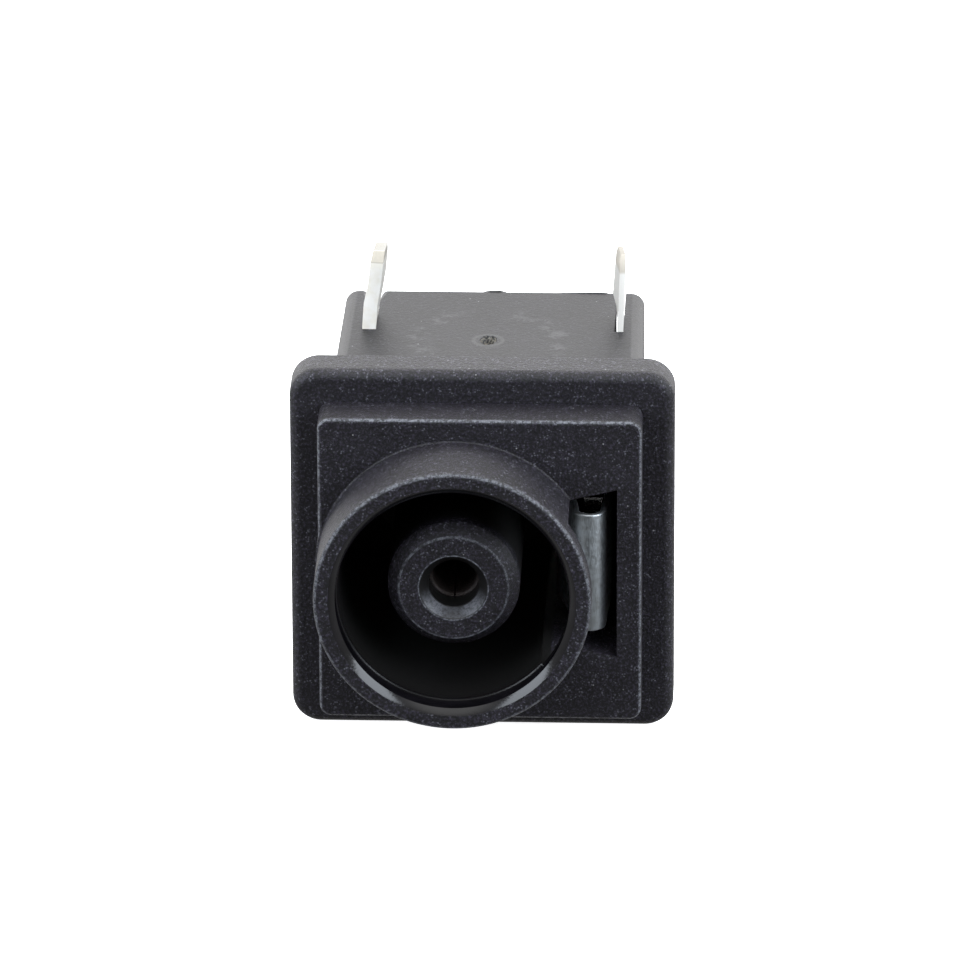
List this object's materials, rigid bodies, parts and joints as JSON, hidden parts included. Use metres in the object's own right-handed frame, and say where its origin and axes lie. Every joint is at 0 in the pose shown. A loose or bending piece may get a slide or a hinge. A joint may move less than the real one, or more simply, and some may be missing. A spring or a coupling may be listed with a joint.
{
  "type": "dc barrel jack",
  "caption": "Right-angle dc barrel jack for a circuit board: round barrel with a pin socket in its post, square boss, panel flange and two solder tails.",
  "frame": {"origin": "on the plug axis, in the plane of the panel flange's front face", "axes": "-Y along the plug axis out of the jack, +Z to the board face where the solder tails stand up, +X to the side with the spring channel"},
  "size_m": [0.0094, 0.0107, 0.0105],
  "materials": {
    "black_plastic": "fine matt moulded texture",
    "tinned_strap": "dull tin plating",
    "tinned_spring": "bright nickel plating"
  },
  "bodies": {
    "root": {"housing": "black_plastic", "centre_contact": "tinned_strap", "sleeve_spring": "tinned_spring"}
  },
  "joints": []
}
